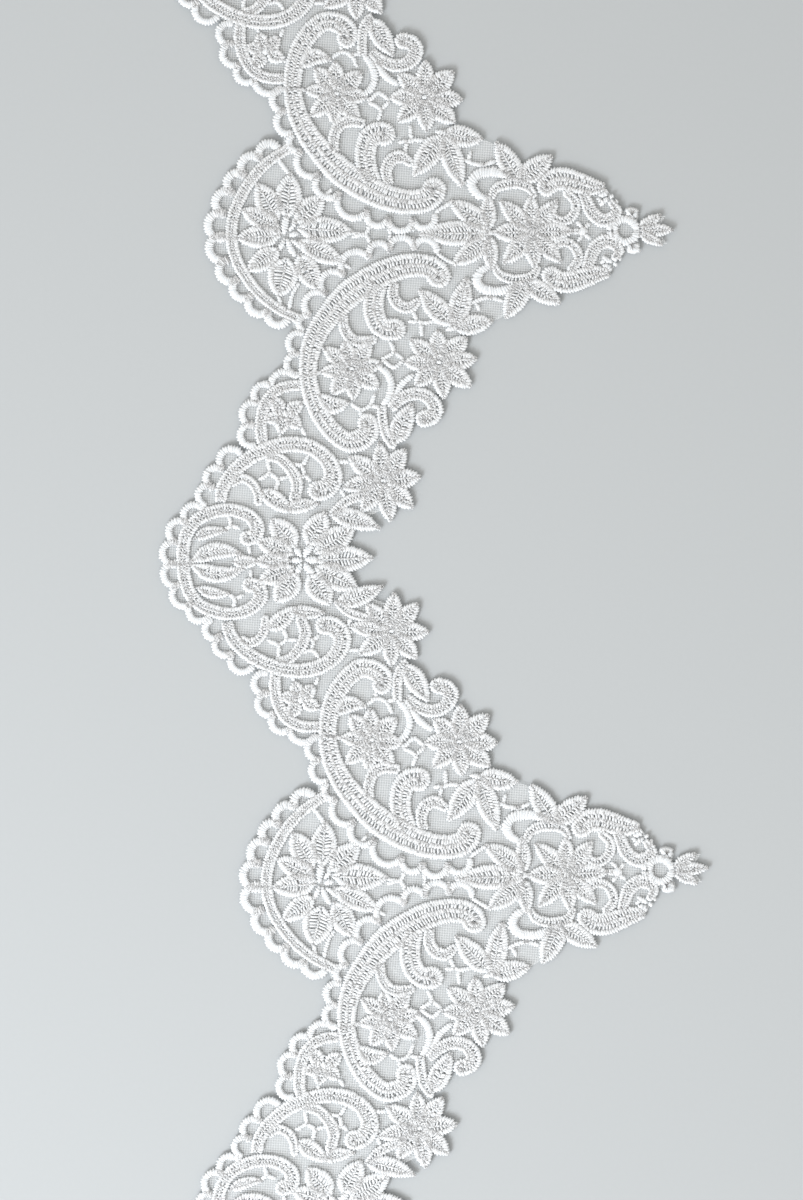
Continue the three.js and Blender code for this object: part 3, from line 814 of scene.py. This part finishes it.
def addBump(nodes, links, shader, height, strength, depth):
    bump = nodes.new("ShaderNodeBump")
    bump.inputs["Strength"].default_value = strength
    bump.inputs["Distance"].default_value = depth * mm
    links.new(height, bump.inputs["Height"])
    links.new(bump.outputs["Normal"], shader.inputs["Normal"])


def makeThread():
    material, nodes, links, shader = newMaterial("whiteThread")
    addMottle(nodes, links, shader, threadFinish, threadFinish["mottle"], threadFinish["mottleDetail"])
    strands = nodes.new("ShaderNodeUVMap")
    strands.uv_map = "strands"
    split = nodes.new("ShaderNodeSeparateXYZ")
    links.new(strands.outputs["UV"], split.inputs["Vector"])
    perStrand = 2 * math.pi / threadFinish["strandPitch"]
    turns = addMath(nodes, links, "MULTIPLY", split.outputs["X"], perStrand)
    ridge = addMath(nodes, links, "SINE", turns)
    addBump(nodes, links, shader, ridge, threadFinish["strandStrength"], threadFinish["strandDepth"])
    shader.inputs["Roughness"].default_value = threadFinish["roughness"]
    shader.inputs["Sheen Weight"].default_value = threadFinish["sheen"]
    shader.inputs["Subsurface Weight"].default_value = threadFinish["glow"]
    shader.inputs["Subsurface Radius"].default_value = (1, 1, 1)
    shader.inputs["Subsurface Scale"].default_value = threadFinish["glowDepth"] * mm
    shader.inputs["Specular IOR Level"].default_value = threadFinish["shine"]
    return material


def makeNet():
    # a see-through cloth that shows only along two crossing sets of threads, with a haze between them
    material, nodes, links, shader = newMaterial("fineNet")
    where = nodes.new("ShaderNodeTexCoord")
    noise = nodes.new("ShaderNodeTexNoise")
    noise.inputs["Scale"].default_value = netFinish["waverScale"]
    links.new(where.outputs["Object"], noise.inputs["Vector"])
    push = nodes.new("ShaderNodeVectorMath")
    push.operation = "MULTIPLY_ADD"
    links.new(noise.outputs["Color"], push.inputs[0])
    push.inputs[1].default_value = (netFinish["waver"] * mm,) * 3
    links.new(where.outputs["Object"], push.inputs[2])
    split = nodes.new("ShaderNodeSeparateXYZ")
    links.new(push.outputs["Vector"], split.inputs["Vector"])
    lines = []
    for axis, other, skew in (("X", "Y", netFinish["skew"]), ("Y", "X", -netFinish["skew"])):
        leaning = addMath(nodes, links, "MULTIPLY", split.outputs[other], skew)
        across = addMath(nodes, links, "ADD", split.outputs[axis], leaning)
        meshes = addMath(nodes, links, "DIVIDE", across, netFinish["mesh"] * mm)
        cell = addMath(nodes, links, "FRACT", meshes)
        edge = addMath(nodes, links, "ABSOLUTE", addMath(nodes, links, "SUBTRACT", cell, 0.5))
        lines.append(addMath(nodes, links, "LESS_THAN", edge, netFinish["line"]))
    crossed = addMath(nodes, links, "MAXIMUM", lines[0], lines[1])
    links.new(addMath(nodes, links, "MAXIMUM", crossed, netFinish["haze"]), shader.inputs["Alpha"])
    shader.inputs["Base Color"].default_value = netFinish["colour"]
    shader.inputs["Roughness"].default_value = netFinish["roughness"]
    material.surface_render_method = "DITHERED"
    return material


def makeFloor():
    material, nodes, links, shader = newMaterial("paleCard")
    grain = addMottle(nodes, links, shader, floorFinish, floorFinish["grain"], floorFinish["grainDetail"])
    addBump(nodes, links, shader, grain, floorFinish["grainStrength"], floorFinish["grainDepth"])
    shader.inputs["Roughness"].default_value = floorFinish["roughness"]
    shader.inputs["Specular IOR Level"].default_value = floorFinish["shine"]
    return material


whiteThread = makeThread()
fineNet = makeNet()
print("materials made")


def meshOf(name, points, faces, strands):
    mesh = bpy.data.meshes.new(name)
    mesh.vertices.add(len(points))
    mesh.vertices.foreach_set("co", points.astype(np.float32).ravel())
    mesh.loops.add(faces.size)
    mesh.loops.foreach_set("vertex_index", faces.astype(np.int32).ravel())
    mesh.polygons.add(len(faces))
    mesh.polygons.foreach_set("loop_start", np.arange(0, faces.size, 4, dtype=np.int32))
    layer = mesh.uv_layers.new(name="strands")
    layer.data.foreach_set("uv", strands[faces.ravel()].astype(np.float32).ravel())
    mesh.polygons.foreach_set("use_smooth", np.ones(len(faces), dtype=bool))
    mesh.update(calc_edges=True)
    return mesh


def everything(bm):
    return bm.verts[:] + bm.edges[:] + bm.faces[:]


def cutSquare(mesh):
    # both ends of the length are cut straight across
    bm = bmesh.new()
    bm.from_mesh(mesh)
    for sign in (1, -1):
        cut = bmesh.ops.bisect_plane(bm, geom=everything(bm), plane_co=(0, sign * layout["cutEnd"] * mm, 0),
                                     plane_no=(0, sign, 0), clear_outer=True)
        rims = [e for e in cut["geom_cut"] if isinstance(e, bmesh.types.BMEdge)]
        if rims:
            bmesh.ops.holes_fill(bm, edges=rims, sides=0)
    bm.to_mesh(mesh)
    bm.free()


def addPiece(name, mesh, material, node):
    mesh.materials.append(material)
    made = bpy.data.objects.new(name, mesh)
    bpy.context.scene.collection.objects.link(made)
    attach(made, "root")
    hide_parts(node)
    return made


def stitchPiece(node, piece, worked):
    # works one charted piece on each half repeat that it spans
    points, faces, strands, count = [], [], [], 0
    for order, half in enumerate(worked):
        cloth = newCloth()
        work(cloth, piece, order == 0)
        at = lay(np.concatenate(cloth["points"]), half) * mm
        ring = np.concatenate(cloth["faces"])
        points.append(at)
        faces.append((ring if half["down"] < 0 else ring[:, ::-1]) + count)
        strands.append(np.concatenate(cloth["strands"]))
        count += len(at)
    points = np.concatenate(points)
    mesh = meshOf(node + ".stitches", points, np.concatenate(faces), np.concatenate(strands))
    if np.abs(points[:, 1]).max() > layout["cutEnd"] * mm:
        cutSquare(mesh)
    return addPiece(node + ".stitches", mesh, whiteThread, node)


perHalf = {
    "scroll": scroll,
    "picot_arch": picotArch,
    "outer_scroll": outerScroll,
    "point_side": pointSide,
    "first_flower": firstFlower,
    "second_flower": secondFlower,
    "third_flower": thirdFlower,
    "sprig": sprig,
    "bud": bud,
}
perPoint = {"medallion_ring": medallionRing, "point_flower": pointFlower, "point_tip": pointTip}
perValley = {"fan": fan, "valley_flower": valleyFlower}

embroidery = []
for name, piece in perHalf.items():
    for i, half in enumerate(halves[:-1]):
        embroidery.append(stitchPiece(f"{name}_{i + 1}", piece, [half]))
for i in range(2):
    embroidery.append(stitchPiece(f"medallion_flower_{i + 1}", medallionFlower, [halves[2 * i]]))
    for name, piece in perPoint.items():
        embroidery.append(stitchPiece(f"{name}_{i + 1}", piece, halves[2 * i:2 * i + 2]))
    for name, piece in perValley.items():
        embroidery.append(stitchPiece(f"{name}_{i + 1}", piece, halves[2 * i + 1:2 * i + 3]))
embroidery.append(stitchPiece("outer_scroll_5", outerScroll, [halves[-1]]))
embroidery.append(stitchPiece("third_flower_5", thirdFlower, [halves[-1]]))
triangles = sum(2 * len(o.data.polygons) for o in embroidery)
print(f"embroidery: {len(embroidery)} pieces, {triangles} triangles")


netSheet = {
    "level": 0.62,              # how high the net lies, mm
    "grid": 3.0,                # mm
    "flat": (0.1374, 0.325),    # metres
    "area": 0.0197,
    "facesUp": 0.9,
}


def makeNetSheet():
    # the top of the net's wall, cut into a grid and laid on the ripples
    bm = bmesh.new()
    bm.from_mesh(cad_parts["net_ground"].data)
    bmesh.ops.remove_doubles(bm, verts=bm.verts[:], dist=tiny)
    bm.normal_update()
    under = [f for f in bm.faces if f.normal.z < netSheet["facesUp"]]
    bmesh.ops.delete(bm, geom=under, context="FACES")
    bmesh.ops.dissolve_faces(bm, faces=bm.faces[:])
    lowest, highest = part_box("net_ground")
    step = netSheet["grid"] * mm
    for axis in (0, 1):
        for i in range(1, int((highest[axis] - lowest[axis]) / step)):
            at, normal = [0, 0, 0], [0, 0, 0]
            at[axis] = lowest[axis] + i * step
            normal[axis] = 1
            bmesh.ops.bisect_plane(bm, geom=everything(bm), plane_co=at, plane_no=normal)
    for v in bm.verts:
        ripple = float(lift(v.co.x / mm, v.co.y / mm)) - drape["rise"]
        v.co.z = (netSheet["level"] + ripple) * mm
    bmesh.ops.triangulate(bm, faces=[f for f in bm.faces if len(f.verts) > 4])
    mesh = bpy.data.meshes.new("net_ground.sheet")
    bm.to_mesh(mesh)
    bm.free()
    return addPiece("net_ground.sheet", mesh, fineNet, "net_ground")


net = makeNetSheet()
print(f"net: {len(net.data.polygons)} faces")


floor = {
    "size": 3.0,                # metres
    "level": -0.02,             # mm
}


def makeStage():
    bpy.ops.object.select_all(action="DESELECT")
    bpy.ops.mesh.primitive_plane_add(size=floor["size"], location=(0, 0, floor["level"] * mm))
    table = bpy.context.object
    table.name = "table"
    table.data.materials.append(makeFloor())
    return table


table = makeStage()

studio = {
    "lamps": {                  # where it hangs, how wide, how strong, its colour
        "window": ((-0.5, -0.66, 0.6), 0.36, 6.6, (0.92, 0.955, 1.0)),
        "wall": ((-0.8, -0.7, 0.9), 1.4, 9.2, (1.0, 0.985, 0.97)),
    },
    "fill": (0.745, 0.715, 0.68, 1),
}


def addLamps():
    # every lamp looks at the middle of the trim
    for name, (hung, size, power, colour) in studio["lamps"].items():
        data = bpy.data.lights.new(name, "AREA")
        data.shape = "DISK"
        data.size = size
        data.energy = power
        data.color = colour
        lamp = bpy.data.objects.new(name, data)
        lamp.location = hung
        lamp.rotation_mode = "QUATERNION"
        lamp.rotation_quaternion = (-Vector(hung)).to_track_quat("-Z", "Y")
        bpy.context.scene.collection.objects.link(lamp)


def addFill():
    world = bpy.data.worlds.new("room")
    world.use_nodes = True
    back = world.node_tree.nodes["Background"]
    back.inputs["Color"].default_value = studio["fill"]
    back.inputs["Strength"].default_value = 1.0
    bpy.context.scene.world = world


view = {
    "centre": (-8.117, 5.0),    # mm
    "height": 300.0,            # of what the picture takes in, mm
    "stitchesUp": 1.0,          # the level that it is measured at, mm
    "lens": 100.0,
    "sensor": 36.0,
    "near": 0.01,               # metres
    "far": 20,
}


def addCamera():
    # straight above the trim
    data = bpy.data.cameras.new("camera")
    data.lens = view["lens"]
    data.sensor_width = view["sensor"]
    data.clip_start, data.clip_end = view["near"], view["far"]
    away = view["height"] * view["lens"] / view["sensor"] + view["stitchesUp"]
    camera = bpy.data.objects.new("camera", data)
    camera.location = (view["centre"][0] * mm, view["centre"][1] * mm, away * mm)
    bpy.context.scene.collection.objects.link(camera)
    bpy.context.scene.camera = camera


addLamps()
addFill()
addCamera()
bpy.context.scene.view_settings.view_transform = "Standard"
print("stage, light and camera set")
